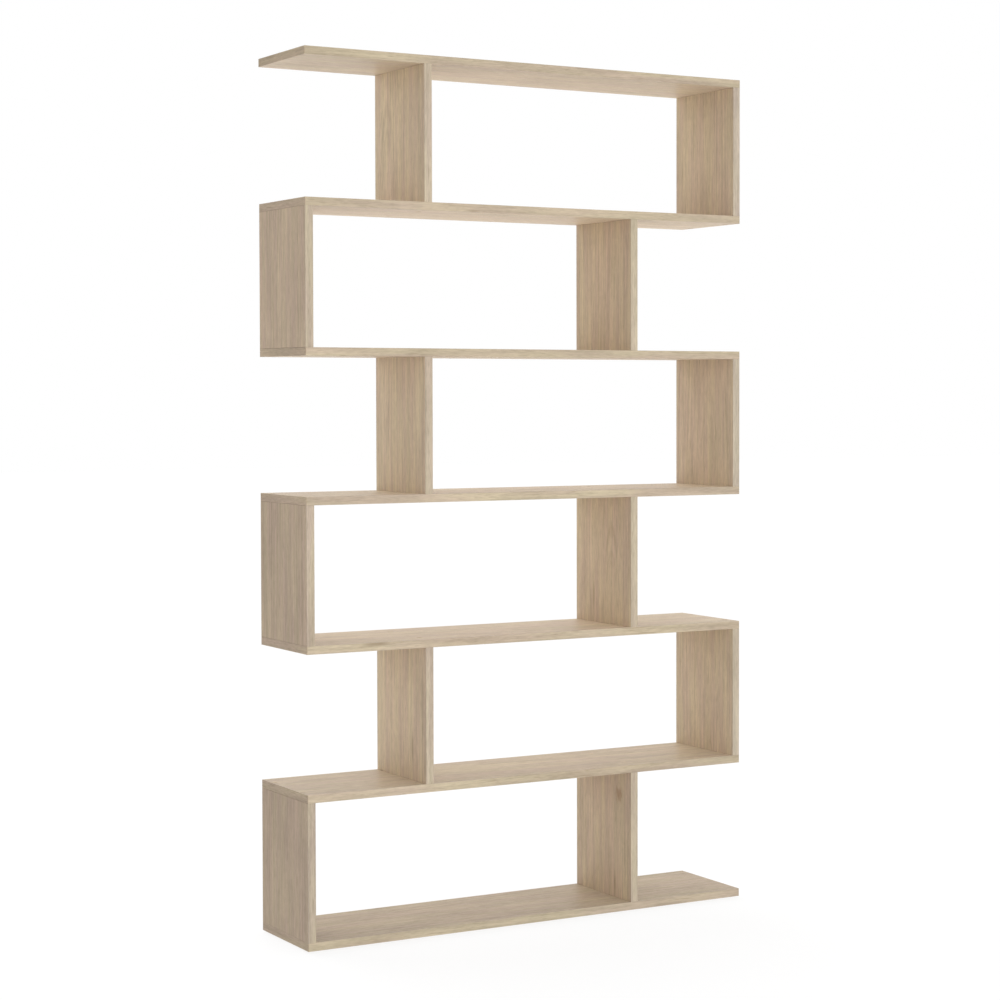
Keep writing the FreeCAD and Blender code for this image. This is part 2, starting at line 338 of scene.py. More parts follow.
# %% A dark dash and the heart of a knot
dash_squeeze = 0.13
dash_radii = (0.0010, 0.0062)
dash_strength = 1.3
heart_squeeze = 0.8
heart_radii = (0.003, 0.022)
heart_strength = 0.95
heart_fibre_shares = (0.6, 1.0)
ragged_size = (0.014, 0.006)
ragged_reach = 0.004

from_dash = distance_on_face(oak_print, given["Board"], given["Dash"], dash_squeeze)[0]
dash_fade = ease(oak_print, from_dash, *dash_radii, dash_strength, 0.0)
dash = reckon(oak_print, "MULTIPLY", dash_fade, fibre)
from_heart = distance_on_face(oak_print, given["Board"], given["Knot"], heart_squeeze)[0]
ragged_noise = streaks(oak_print, given["Place"], *ragged_size)
ragged = swing(oak_print, ragged_noise, soft_limits, ragged_reach)
heart_edge = reckon(oak_print, "ADD", from_heart, ragged)
heart_fade = ease(oak_print, heart_edge, *heart_radii, heart_strength, 0.0)
heart_fibre = ease(oak_print, fibre, *fibre_limits, *heart_fibre_shares)
knot_heart = reckon(oak_print, "MULTIPLY", heart_fade, heart_fibre)
print("a knot's heart fades out at", heart_radii[1], "m")

# %% Colour the print
rose_oak = (0.556, 0.436, 0.334, 1.0)
straw_oak = (0.584, 0.482, 0.338, 1.0)
late_brown = (0.440, 0.345, 0.240, 1.0)
pore_brown = (0.335, 0.258, 0.178, 1.0)
# This brown also paints the shade line at the ends of the uprights.
streak_and_shade_brown = (0.330, 0.245, 0.165, 1.0)
knot_brown = (0.360, 0.235, 0.150, 1.0)

colour = blend_colours(oak_print, tone, rose_oak, straw_oak)
colour = blend_colours(oak_print, late_wood, colour, late_brown)
shade = reckon(oak_print, "ADD", bands, 1.0)
for layer in (fibre_shade, blotches):
    shade = reckon(oak_print, "ADD", shade, layer)
grey = add(oak_print, "CombineXYZ", {"X": shade, "Y": shade, "Z": shade}).outputs[0]
colour = blend_colours(oak_print, 1.0, colour, grey, how="MULTIPLY")
colour = blend_colours(oak_print, pore_share, colour, pore_brown)
for layer in (short_streaks, dash):
    colour = blend_colours(oak_print, layer, colour, streak_and_shade_brown)
colour = blend_colours(oak_print, knot_heart, colour, knot_brown)
colour = blend_colours(oak_print, 1.0, colour, given["Tint"], how="MULTIPLY")

result = oak_print.nodes.new("NodeGroupOutput")
for label, source in (("Colour", colour), ("Fibre", fibre), ("Pores", pores)):
    oak_print.links.new(source, result.inputs[label])
print("oak print nodes:", len(oak_print.nodes))

# %% [markdown]
# ## Faced boards
# Each board gets its own material. A mapping brings the board's own axes to the print: X along the
# grain, Y across it and Z through the thickness, all from the board's middle. On the long shelves
# the grain runs from end to end, and on the uprights it stands up. A second mapping picks the
# stretch of print that the board is cut from. Under the facing is chipboard, which shows where a
# hole or a sawn end goes deeper than the paper-thin print.

# %% Helpers for board finishes
facing_depth = 0.0004
oak_shine = 0.1
oak_roughness = (0.52, 0.36)
oak_bump = 0.35


def new_finish(name):
    """A new material with its tree of nodes and its shader."""
    finish = bpy.data.materials.new(name)
    finish.use_nodes = True
    return finish, finish.node_tree, finish.node_tree.nodes["Principled BSDF"]


def give_finish(piece, finish):
    """Puts a finish on a piece in place of any other."""
    piece.data.materials.clear()
    piece.data.materials.append(finish)


def away_from_middle(tree, place, axis):
    """How far a place lies from the middle along one axis, whichever way."""
    along = add(tree, "SeparateXYZ", {0: place}).outputs[axis]
    return reckon(tree, "ABSOLUTE", along)


def lay_print(tree, place, board_place, tint, knot=None, dash=None):
    """The oak print, read at a place, with a knot or a dark dash where the board has one."""
    far_off = (9.0, 9.0, 0.0)
    laid = tree.nodes.new("ShaderNodeGroup")
    laid.node_tree = oak_print
    tree.links.new(place, laid.inputs["Place"])
    tree.links.new(board_place, laid.inputs["Board"])
    laid.inputs["Knot"].default_value = knot or far_off
    laid.inputs["Dash"].default_value = dash or far_off
    laid.inputs["Tint"].default_value = (*tint, 1.0)
    return laid.outputs


def dress(tree, shader, colour, rough, height, bump_strength, bump_depth):
    """Joins a colour, a roughness and a fine relief to a shader."""
    tree.links.new(colour, shader.inputs["Base Color"])
    tree.links.new(rough, shader.inputs["Roughness"])
    relief = {"Height": height, "Strength": bump_strength, "Distance": bump_depth}
    tree.links.new(add(tree, "Bump", relief).outputs[0], shader.inputs["Normal"])


def dress_wood(tree, shader, colour, fibre, height, bump_depth):
    """Joins the oak print to a shader, with gloss that follows the fibres."""
    shader.inputs["Specular IOR Level"].default_value = oak_shine
    rough = ease(tree, fibre, *fibre_limits, *oak_roughness)
    dress(tree, shader, colour, rough, height, oak_bump, bump_depth)


print("finish helpers ready")

# %% Chipboard
flake_size = 0.0022
pale_flake = (0.56, 0.42, 0.27, 1.0)
dark_flake = (0.25, 0.16, 0.09, 1.0)


def lay_chipboard(tree, place):
    """Pressed flakes, each of its own shade, lying flat in the board."""
    flat = (1 / flake_size, 1 / flake_size, 2 / flake_size)
    spread = add(tree, "VectorMath", {0: place, 1: flat}, operation="MULTIPLY").outputs[0]
    flakes = add(tree, "TexVoronoi", {"Vector": spread, "Scale": 1.0})
    each = add(tree, "SeparateXYZ", {0: flakes.outputs["Color"]}).outputs["X"]
    return blend_colours(tree, each, dark_flake, pale_flake)


print("flakes of", flake_size, "m")

# %% The figure of each board
straight_shift = 0.45
shift_step = (3.7, 0.61)
ring_depth = 0.035
heart_across = {
    "bay_3_right_divider": 0.039,
    "bay_4_right_end_panel": 0.02,
    "bay_5_left_end_panel": 0.05,
    "bay_6_left_divider": -0.06,
}
knots = {"bay_1_right_divider": (0.091, -0.070, 0.0)}
dashes = {
    "bay_1_right_divider": (-0.120, -0.052, 0.0),
    "bay_2_left_divider": (-0.079, -0.057, 0.0),
    "bay_3_right_divider": (-0.085, 0.044, 0.0),
    "shelf_3_edging": (-0.390, -0.0055, 0.0),
    "shelf_4": (-0.382, -0.116, 0.0),
}
shelf_tint = (1.0, 1.0, 0.99)
# Tints for each kind of upright, all on the same print: painted light and shade, paler on the dividers
# and right end panels, darker on the left end panels.
side_painted_light_tints = {
    "left_end_panel": (0.92, 0.88, 0.86),
    "left_divider": (1.18, 1.18, 1.16),
    "right_divider": (1.06, 1.05, 1.03),
    "right_end_panel": (1.07, 1.07, 1.06),
}
# Shades for single boards: painted shade and light, such as the darker bottom shelf near the floor and
# the left end panels growing paler upwards.
board_painted_shades = {
    "bottom_shelf": 0.752,
    "shelf_2": 0.88,
    "shelf_3": 0.99,
    "shelf_6": 1.04,
    "top_shelf": 0.915,
    "bay_1_left_end_panel": 0.94,
    "bay_3_left_end_panel": 0.98,
    "bay_3_right_divider": 1.03,
    "bay_5_left_end_panel": 1.09,
    "bay_6_left_divider": 1.03,
}


def tint_of(name):
    """A board's tint: its kind's tint, made darker or paler by painted light and shade for each kind of
    upright and for some boards.
    """
    kind = next((tint for side, tint in side_painted_light_tints.items() if name.endswith(side)), shelf_tint)
    return tuple(share * board_painted_shades.get(name, 1.0) for share in kind)


def shift_of(name, number):
    """Where in the print a board is cut from: at the heart of the tree, or well away from it."""
    across = heart_across.get(name, straight_shift + number * shift_step[1])
    return (number * shift_step[0], across, ring_depth)


print("boards with arches:", len(heart_across), "with a knot:", len(knots), "with a dash:", len(dashes))

# %% Finish the boards
level_grain = (0, 0, 0)
upright_grain = (0, math.pi / 2, 0)
# The line at an upright's ends is partly the sawn edge of the facing and partly painted shade where the
# upright meets a shelf.
sawn_and_shade_line = 0.0008
sawn_and_shade_darkness = 0.75
board_relief = 0.0002


def is_shelf(name):
    """Whether a board is a shelf, and not an upright."""
    return "shelf" in name


def finish_board(name, number):
    """Print on a board's faces, chipboard in its holes, and a dark line at an upright's ends: sawn edge
    and painted shade where it meets a shelf.
    """
    finish, tree, shader = new_finish(f"{name}_oak")
    low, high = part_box(name)
    middle, size = (low + high) / 2, high - low
    turn = level_grain if is_shelf(name) else upright_grain
    thickness = size.z if is_shelf(name) else size.x
    spot = add(tree, "TexCoord").outputs["Object"]
    centred = add(tree, "Mapping", {"Vector": spot, "Location": -middle}).outputs[0]
    turned = add(tree, "Mapping", {"Vector": centred, "Rotation": turn}).outputs[0]
    shifted = add(tree, "Mapping", {"Vector": turned, "Location": shift_of(name, number)}).outputs[0]
    made = lay_print(tree, shifted, turned, tint_of(name), knots.get(name), dashes.get(name))
    colour = made["Colour"]
    # Painted shade, with the sawn edge's dark line, along an upright's ends where it meets a shelf.
    if not is_shelf(name):
        end = size.z / 2
        along = away_from_middle(tree, turned, "X")
        end_line_and_shade = ease(tree, along, end - sawn_and_shade_line, end, 0.0, sawn_and_shade_darkness)
        colour = blend_colours(tree, end_line_and_shade, colour, streak_and_shade_brown)
    buried = thickness / 2 - facing_depth
    core = ease(tree, away_from_middle(tree, turned, "Z"), buried - facing_depth, buried, 1.0, 0.0)
    colour = blend_colours(tree, core, colour, lay_chipboard(tree, turned))
    height = reckon(tree, "SUBTRACT", made["Fibre"], made["Pores"])
    dress_wood(tree, shader, colour, made["Fibre"], height, board_relief)
    give_finish(nodes[name], finish)


boards = sorted(name for name in nodes if f"{name}_edging" in nodes)
for number, name in enumerate(boards):
    finish_board(name, number)
print("boards finished:", len(boards))

# %% [markdown]
# ## Edge strips
# The narrow sides carry strips that are cut from rolls and glued on, with their outer corners
# eased. A strip's grain runs along it: from end to end on the long sides of a shelf, from front to
# back on its ends, and upwards on an upright. The eased corners carry a painted highlight that makes
# them a little paler, and the glue shows as a thin darker line against the board.

# %% Tints of the edge strips
end_strip_tint = (0.91, 0.885, 0.855)
shelf_strip_tint = (0.925, 0.950, 0.950)
upright_strip_tint = (0.896, 0.929, 0.957)
right_end_strip_tint = (0.900, 0.948, 1.024)
# Shades for the strips of some boards: painted shade and light, such as the darker fronts of the bottom
# shelf, the lowest bay and the top shelf.
strip_painted_shades = {
    "bottom_shelf": 0.905,
    "shelf_2": 0.98,
    "shelf_4": 0.975,
    "shelf_6": 0.98,
    "top_shelf": 0.93,
    "bay_1_left_end_panel": 0.90,
    "bay_1_right_divider": 0.97,
    "bay_3_left_end_panel": 0.965,
    "bay_4_left_divider": 0.96,
    "bay_5_left_end_panel": 0.975,
    "bay_5_right_divider": 1.04,
    "bay_6_right_end_panel": 0.965,
}
end_strip_shades = {"bottom_shelf": 0.945, "shelf_2": 0.91, "shelf_4": 1.04, "top_shelf": 0.945}


def strip_tint_of(name):
    """A strip's tint: its kind's tint, made darker or paler by painted shade and light on some boards.
    """
    kind = shelf_strip_tint if is_shelf(name) else upright_strip_tint
    if name.endswith("right_end_panel"):
        kind = right_end_strip_tint
    return tuple(share * strip_painted_shades.get(name, 1.0) for share in kind)


print("boards whose strips have a shade of their own:", len(strip_painted_shades))

# %% Finish the edge strips
roll_depth = 0.4
strip_number = 40
strip_relief = 0.0001
eased_depth = 0.0005
edge_highlight_paleness = 0.12
glue_line = (0.0006, 0.0008)
glue_darkness = 0.5
half_depth = (cad_high.y - cad_low.y) / 2
half_length = (cad_high.x - cad_low.x) / 2


def shaded(tree, colour, shares):
    """A colour with each of its parts multiplied by a share."""
    return blend_colours(tree, 1.0, colour, (*shares, 1.0), how="MULTIPLY")


def finish_edging(name, number):
    """Print along each strip, with a painted highlight on its eased corners and darker at the glue."""
    finish, tree, shader = new_finish(f"{name}_edging_oak")
    spot = add(tree, "TexCoord").outputs["Object"]
    turn = level_grain if is_shelf(name) else upright_grain
    turned = add(tree, "Mapping", {"Vector": spot, "Rotation": turn}).outputs[0]
    tint = strip_tint_of(name)
    inside = reckon(tree, "SUBTRACT", half_depth, away_from_middle(tree, spot, "Y"))
    on_strip = turned
    if is_shelf(name):
        low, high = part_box(name)
        middle = (low + high) / 2
        front_middle = (-middle.x, middle.z, -middle.y)
        to_front = {"Vector": spot, "Rotation": (math.pi / 2, 0, 0), "Location": front_middle}
        on_strip = add(tree, "Mapping", to_front).outputs[0]
        from_end = reckon(tree, "SUBTRACT", half_length, away_from_middle(tree, spot, "X"))
        inside = reckon(tree, "MINIMUM", inside, from_end)
        at_end = reckon(tree, "LESS_THAN", from_end, glue_line[1])
        sideways = add(tree, "Mapping", {"Vector": spot, "Rotation": (0, 0, math.pi / 2)}).outputs[0]
        ways = add(tree, "Mix", {0: at_end, 4: turned, 5: sideways}, data_type="VECTOR")
        turned = ways.outputs[1]
    shift = (number * shift_step[0], number * shift_step[1], roll_depth)
    shifted = add(tree, "Mapping", {"Vector": turned, "Location": shift}).outputs[0]
    made = lay_print(tree, shifted, on_strip, tint, dash=dashes.get(f"{name}_edging"))
    colour = made["Colour"]
    if is_shelf(name):
        end_shade = end_strip_shades.get(name, 1.0)
        shares = tuple(end_shade * end / side for end, side in zip(end_strip_tint, tint))
        colour = blend_colours(tree, at_end, colour, shaded(tree, colour, shares))
    # A painted highlight: the eased corners are mixed a little towards white.
    painted_edge_highlight = ease(tree, inside, 0.0, eased_depth, 0.0, edge_highlight_paleness)
    colour = blend_colours(tree, painted_edge_highlight, colour, plain_white)
    glue = ease(tree, inside, *glue_line, 0.0, glue_darkness)
    colour = blend_colours(tree, glue, colour, streak_and_shade_brown)
    height = reckon(tree, "SUBTRACT", made["Fibre"], made["Pores"])
    dress_wood(tree, shader, colour, made["Fibre"], height, strip_relief)
    give_finish(nodes[f"{name}_edging"], finish)


for number, name in enumerate(boards):
    finish_edging(name, number + strip_number)
print("sets of edge strips finished:", len(boards))

# %% [markdown]
# ## Small fittings
# At every joint two countersunk screws and a dowel hold a shelf to the end of an upright. The
# construction model has them as plain eight-sided pegs, which fit their holes. Here each fitting is
# drawn once, as a turner would shape it, then copied to all its places. Their places come from the
# boards: a joint lies wherever an upright ends. The copies of a fitting are joined into one piece,
# as in the construction model.

# %% A helper that draws round pieces
millimetre = 0.001


def turn_piece(name, rings, sides=32):
    """A round piece along Z, drawn up from ring to ring, each a height and a radius in millimetres."""
    bpy.ops.object.select_all(action="DESELECT")
    height, radius = rings[0]
    size = radius * millimetre
    bpy.ops.mesh.primitive_circle_add(vertices=sides, radius=size, fill_type="NGON")
    piece = bpy.context.object
    piece.name = name
    bpy.ops.object.mode_set(mode="EDIT")
    bpy.ops.transform.translate(value=(0, 0, height * millimetre))
    for next_height, next_radius in rings[1:]:
        rise = (0, 0, (next_height - height) * millimetre)
        bpy.ops.mesh.extrude_region_move(TRANSFORM_OT_translate={"value": rise})
        grow = next_radius / radius
        bpy.ops.transform.resize(value=(grow, grow, 1))
        height, radius = next_height, next_radius
    bpy.ops.mesh.select_all(action="SELECT")
    bpy.ops.mesh.normals_make_consistent(inside=False)
    bpy.ops.object.mode_set(mode="OBJECT")
    return piece


print("round pieces are drawn in units of", millimetre, "m")


# %% Helpers that cut and join
def apply_modifier(piece, kind, **settings):
    """Adds a modifier with its settings and applies it."""
    modifier = piece.modifiers.new(kind.lower(), kind)
    for setting, value in settings.items():
        setattr(modifier, setting, value)
    bpy.context.view_layer.objects.active = piece
    bpy.ops.object.modifier_apply(modifier=modifier.name)


def cut_away(piece, cutter):
    """Cuts one shape out of another and clears the cutter away."""
    apply_modifier(piece, "BOOLEAN", operation="DIFFERENCE", object=cutter)
    bpy.ops.object.select_all(action="DESELECT")
    cutter.select_set(True)
    bpy.ops.object.delete()


def join_pieces(pieces):
    """Joins pieces into the first of them."""
    bpy.ops.object.select_all(action="DESELECT")
    for piece in pieces:
        piece.select_set(True)
    bpy.context.view_layer.objects.active = pieces[0]
    bpy.ops.object.transform_apply(location=True, rotation=True, scale=True)
    if len(pieces) > 1:
        bpy.ops.object.join()
    return pieces[0]


print("helpers that cut and join ready")

# %% Set copies in place
turn_over = math.pi
smooth_angle = math.radians(35)
joints = []
for name in boards:
    if not is_shelf(name):
        low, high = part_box(name)
        joints.append(((low.x + high.x) / 2, low.z, turn_over))
        joints.append(((low.x + high.x) / 2, high.z, 0.0))


def set_copies(piece, node, places, finish):
    """Copies a fitting to its places, joins the copies, and lets them stand for the plain node."""
    copies = [piece]
    for place in places[1:]:
        bpy.ops.object.select_all(action="DESELECT")
        piece.select_set(True)
        bpy.context.view_layer.objects.active = piece
        bpy.ops.object.duplicate(linked=False)
        copies.append(bpy.context.object)
    for copy, (x, y, z, turn) in zip(copies, places):
        copy.location = (x, y, z)
        copy.rotation_euler = (turn, 0, 0)
    joined = join_pieces(copies)
    bpy.ops.object.shade_smooth_by_angle(angle=smooth_angle)
    joined.data.name = joined.name
    give_finish(joined, finish)
    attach(joined, "root")
    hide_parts(node)
    print(joined.name, "copies:", len(places), "faces:", len(joined.data.polygons))


print("joints:", len(joints))

# %% [markdown]
# ## Bright zinc and raw beech
# Screws, nails and the wall bracket are zinc-plated steel: a bluish grey metal with a faint
# cloudiness and fine drawing marks. The dowels are raw beech, short-flecked and warm, with the grain
# along the dowel. Both are worked out from noise, and the marks and the grain from stretched noise.

# %% Zinc
zinc_pale = (0.70, 0.71, 0.73, 1.0)
zinc_dark = (0.52, 0.53, 0.56, 1.0)
zinc_cloud_size = (0.006, 0.006)
zinc_scratch_size = (0.004, 0.0002)
zinc_roughness = (0.26, 0.44)
zinc_bump = 0.15
zinc_relief = 0.00005


def zinc_finish(name):
    """Zinc-plated steel: cloudy, finely scratched metal."""
    finish, tree, shader = new_finish(name)
    shader.inputs["Metallic"].default_value = 1.0
    spot = add(tree, "TexCoord").outputs["Object"]
    clouds = streaks(tree, spot, *zinc_cloud_size, detail=3.0)
    scratches = streaks(tree, spot, *zinc_scratch_size)
    colour = blend_colours(tree, ease(tree, clouds, *soft_limits), zinc_dark, zinc_pale)
    rough = ease(tree, scratches, *soft_limits, *zinc_roughness)
    dress(tree, shader, colour, rough, scratches, zinc_bump, zinc_relief)
    return finish


zinc = zinc_finish("zinc_plated_steel")
print("finish:", zinc.name)

# %% Beech
beech_pale = (0.66, 0.48, 0.31, 1.0)
beech_dark = (0.50, 0.33, 0.19, 1.0)
beech_grain_size = (0.02, 0.0012)
beech_fleck_size = (0.0025, 0.0003)
beech_fleck_limits = (0.62, 0.70)
beech_fleck_strength = 0.7
beech_roughness = (0.55, 0.75)
beech_bump = 0.3
beech_relief = 0.0001


def beech_finish(name):
    """Raw beech: fine upright grain with short dark flecks."""
    finish, tree, shader = new_finish(name)
    spot = add(tree, "TexCoord").outputs["Object"]
    turned = add(tree, "Mapping", {"Vector": spot, "Rotation": upright_grain}).outputs[0]
    grain = streaks(tree, turned, *beech_grain_size, detail=3.0)
    fleck_noise = streaks(tree, turned, *beech_fleck_size, detail=1.0)
    flecks = ease(tree, fleck_noise, *beech_fleck_limits, 0.0, beech_fleck_strength)
    colour = blend_colours(tree, ease(tree, grain, *soft_limits), beech_pale, beech_dark)
    colour = blend_colours(tree, flecks, colour, beech_dark)
    rough = ease(tree, grain, *soft_limits, *beech_roughness)
    dress(tree, shader, colour, rough, grain, beech_bump, beech_relief)
    return finish


beech = beech_finish("raw_beech")
print("finish:", beech.name)

# %% [markdown]
# ## Joint screws
# A chipboard screw of this kind has a flat head that tapers into a plain shank, then a coarse
# thread with a point, and a six-sided socket for the key. The shaft is drawn ring by ring. The
# thread is a small triangle that the Screw modifier winds round it, and the socket is cut out with
# a six-sided peg. Heights count from the joint's plane, with the shelf above it.

# %% A helper that winds a thread
thread_steps = 12


def wind_thread(shaft_radius, bottom, ridge, pitch, turns):
    """A three-cornered ridge wound round the Z axis, with both its ends closed."""
    bpy.ops.object.select_all(action="DESELECT")
    upright = (math.pi / 2, 0, 0)
    bpy.ops.mesh.primitive_circle_add(vertices=3, radius=ridge * millimetre, rotation=upright)
    thread = bpy.context.object
    bpy.ops.object.transform_apply(location=False, rotation=True, scale=False)
    bpy.ops.object.mode_set(mode="EDIT")
    bpy.ops.transform.translate(value=(shaft_radius * millimetre, 0, bottom * millimetre))
    bpy.ops.object.mode_set(mode="OBJECT")
    winding = {"axis": "Z", "angle": 2 * math.pi, "screw_offset": pitch * millimetre}
    fineness = {"steps": thread_steps, "render_steps": thread_steps}
    apply_modifier(thread, "SCREW", iterations=turns, **winding, **fineness)
    bpy.ops.object.mode_set(mode="EDIT")
    bpy.ops.mesh.select_all(action="SELECT")
    bpy.ops.mesh.fill_holes(sides=3)
    bpy.ops.mesh.select_all(action="SELECT")
    bpy.ops.mesh.normals_make_consistent(inside=False)
    bpy.ops.object.mode_set(mode="OBJECT")
    return thread


print("a turn of thread has", thread_steps, "steps")

# %% Model a joint screw
screw_inset = 50.0
screw_core = 1.8
screw_shank = 3.3
screw_head = 4.7
thread_bottom = -29.0
screw_rings = (
    (-32.0, 0.3),
    (thread_bottom, screw_core),
    (0.0, screw_core),
    (0.5, 2.4),
    (1.5, screw_shank),
    (15.0, screw_shank),
    (17.6, screw_head),
    (18.0, screw_head),
)
thread_pitch = 2.4
thread_turns = 11
thread_ridge = 0.55
key_width = 2.3
key_depth = 2.6
key_overrun = 1.0

screw = turn_piece("socket_joint_screws", screw_rings, sides=24)
head_top = screw_rings[-1][0]
key_rings = ((head_top - key_depth, key_width), (head_top + key_overrun, key_width))
cut_away(screw, turn_piece("key_peg", key_rings, sides=6))
thread = wind_thread(screw_core, thread_bottom, thread_ridge, thread_pitch, thread_turns)
screw = join_pieces([screw, thread])
screw_row = half_depth - screw_inset * millimetre
at_screws = [(x, y, z, turn) for x, z, turn in joints for y in (-screw_row, screw_row)]
set_copies(screw, "joint_screws", at_screws, zinc)

# %% [markdown]
# ## Dowels
# The dowel between the two screws keeps a shelf from turning. It is a beech peg with chamfered ends
# and lengthwise flutes that let glue and air out. Every third line of a many-sided peg, pushed in
# towards the middle, gives the flutes.

# %% Model a dowel
dowel_tip = 3.0
dowel_radius = 3.7
dowel_rings = ((-20.0, dowel_tip), (-19.2, dowel_radius), (9.2, dowel_radius), (10.0, dowel_tip))
flute_lines = 12
flute_share = 0.93

dowel = turn_piece("fluted_dowels", dowel_rings, sides=3 * flute_lines)
bpy.ops.object.mode_set(mode="EDIT")
bpy.ops.mesh.select_all(action="DESELECT")
bpy.ops.mesh.select_mode(type="VERT")
bpy.ops.object.mode_set(mode="OBJECT")
long_rings = {round(height, 1) for height, radius in dowel_rings[1:3]}
for corner in dowel.data.vertices:
    line = round(math.atan2(corner.co.y, corner.co.x) / (2 * math.pi) * 3 * flute_lines)
    at_long_ring = round(corner.co.z / millimetre, 1) in long_rings
    corner.select = at_long_ring and line % 3 == 0
bpy.ops.object.mode_set(mode="EDIT")
bpy.ops.transform.resize(value=(flute_share, flute_share, 1), center_override=(0, 0, 0))
bpy.ops.object.mode_set(mode="OBJECT")
at_dowels = [(x, 0.0, z, turn) for x, z, turn in joints]
set_copies(dowel, "joint_dowels", at_dowels, beech)

# %% [markdown]
# ## Screw caps
# Stick-on caps hide the screw heads. They are punched from a film that carries the same print as
# the boards, so only their rims show. The rim is drawn as a few rings that round it over. The heads
# under the bottom shelf lie on the floor side and have no caps.

# %% Model a screw cap
cap_rings = ((18.0, 6.30), (18.25, 6.40), (18.42, 6.28), (18.5, 6.0))
film_number = 90
film_tint = (0.97, 0.97, 0.97)


def film_finish(name):
    """The oak print on a thin film, cut from a roll of its own."""
    finish, tree, shader = new_finish(name)
    spot = add(tree, "TexCoord").outputs["Object"]
    shift = (film_number * shift_step[0], film_number * shift_step[1], ring_depth)
    shifted = add(tree, "Mapping", {"Vector": spot, "Location": shift}).outputs[0]
    made = lay_print(tree, shifted, spot, film_tint)
    dress_wood(tree, shader, made["Colour"], made["Fibre"], made["Fibre"], strip_relief)
    return finish


cap = turn_piece("printed_screw_caps", cap_rings, sides=40)
lowest_joint = min(z for x, z, turn in joints)
at_caps = [(x, y, z, turn) for x, y, z, turn in at_screws if z > lowest_joint]
set_copies(cap, "screw_caps", at_caps, film_finish("cap_film"))

# %% [markdown]
# ## Floor glides
# Six round plastic glides keep the bottom shelf off the floor, each moulded on a nail. The foot is
# drawn as rings with a rounded tread. Its underside is inset and pushed up a little, so that it
# stands on its rim, and a hole in its top takes the nail. The nails have ringed shanks and points.

# %% Model a glide
glide_height = 4.0
glide_radius = 10.85
glide_rings = ((0.0, 9.6), (0.25, 10.2), (0.9, 10.7), (1.5, glide_radius), (glide_height, glide_radius))
glide_tread = 2.0
glide_slope = 0.6
glide_dish = 0.35
nail_hole = 1.2
nail_hole_depth = 2.5
level_tolerance = 0.01
least_flatness = 0.99


def pick_flat_face(piece, height):
    """Selects only the flat face at a height, in edit mode."""
    bpy.ops.object.mode_set(mode="EDIT")
    bpy.ops.mesh.select_mode(type="FACE")
    bpy.ops.mesh.select_all(action="DESELECT")
    bpy.ops.object.mode_set(mode="OBJECT")
    for face in piece.data.polygons:
        at_height = abs(face.center.z - height * millimetre) < level_tolerance * millimetre
        face.select = at_height and abs(face.normal.z) > least_flatness
    bpy.ops.object.mode_set(mode="EDIT")


glide = turn_piece("moulded_floor_glides", glide_rings)
pick_flat_face(glide, 0.0)
bpy.ops.mesh.inset(thickness=glide_tread * millimetre)
bpy.ops.mesh.inset(thickness=glide_slope * millimetre)
bpy.ops.transform.translate(value=(0, 0, glide_dish * millimetre))
pick_flat_face(glide, glide_height)
bpy.ops.mesh.inset(thickness=(glide_radius - nail_hole) * millimetre)
sink = (0, 0, -nail_hole_depth * millimetre)
bpy.ops.mesh.extrude_region_move(TRANSFORM_OT_translate={"value": sink})
bpy.ops.object.mode_set(mode="OBJECT")
print("glide faces:", len(glide.data.polygons))

# %% Model a glide's nail
nail_radius = 1.1
groove_radius = 0.98
groove_count = 6
groove_start = 4.5
groove_rise = 0.5
nail_rings = [(1.5, nail_radius)]
for groove in range(groove_count):
    ridge = groove_start + groove
    nail_rings += [(ridge, nail_radius), (ridge + groove_rise, groove_radius)]
nail_rings += [(11.0, nail_radius), (13.0, nail_radius), (15.4, 0.1)]

nail = turn_piece("ringed_glide_nails", nail_rings, sides=16)
print("nail faces:", len(nail.data.polygons))

# %% Set the glides and nails
plastic_pale = (0.74, 0.72, 0.68, 1.0)
plastic_scuffed = (0.60, 0.58, 0.54, 1.0)
mottle_size = (0.004, 0.004)
scuff_height = 0.0015
scuff_shares = (0.9, 0.15)
plastic_roughness = (0.38, 0.55)
plastic_bump = 0.2
plastic_relief = 0.0001
glide_inset = 40.0


def plastic_finish(name):
    """Pale moulded plastic, mottled and scuffed near the floor."""
    finish, tree, shader = new_finish(name)
    spot = add(tree, "TexCoord").outputs["Object"]
    mottle = streaks(tree, spot, *mottle_size, detail=3.0)
    height = add(tree, "SeparateXYZ", {0: spot}).outputs["Z"]
    near_floor = ease(tree, height, 0.0, scuff_height, *scuff_shares)
    scuffs = reckon(tree, "MULTIPLY", near_floor, mottle)
    colour = blend_colours(tree, scuffs, plastic_pale, plastic_scuffed)
    rough = ease(tree, mottle, *soft_limits, *plastic_roughness)
    dress(tree, shader, colour, rough, mottle, plastic_bump, plastic_relief)
    return finish


glide_row = half_depth - glide_inset * millimetre
glide_column = half_length - glide_inset * millimetre
glide_columns = (-glide_column, 0.0, glide_column)
at_glides = [(x, y, 0.0, 0.0) for x in glide_columns for y in (-glide_row, glide_row)]
set_copies(glide, "floor_glides", at_glides, plastic_finish("glide_plastic"))
set_copies(nail, "glide_nails", at_glides, zinc)

# %% [markdown]
# ## Wall bracket
# A bent steel strip under the top shelf, at the back, ties the bookshelf to a wall so that it
# can't tip over. It is modelled as a sheet: a flat leg, a bend spun from its back edge, and the
# second leg drawn down from the bend. Bevelled corners round its free ends, Solidify gives it the
# thickness of the steel, and round cutters punch the holes.

# %% Fold the bracket
bend_radius = 4.0
bend_steps = 8
hairline = 1e-6
bracket_low, bracket_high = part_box("wall_bracket")
bracket_x = (bracket_low.x + bracket_high.x) / 2
bend_y = bracket_high.y - bend_radius * millimetre
bend_z = bracket_high.z - bend_radius * millimetre
leg_middle = (bracket_x, (bracket_low.y + bend_y) / 2, bracket_high.z)
bracket_width = bracket_high.x - bracket_low.x

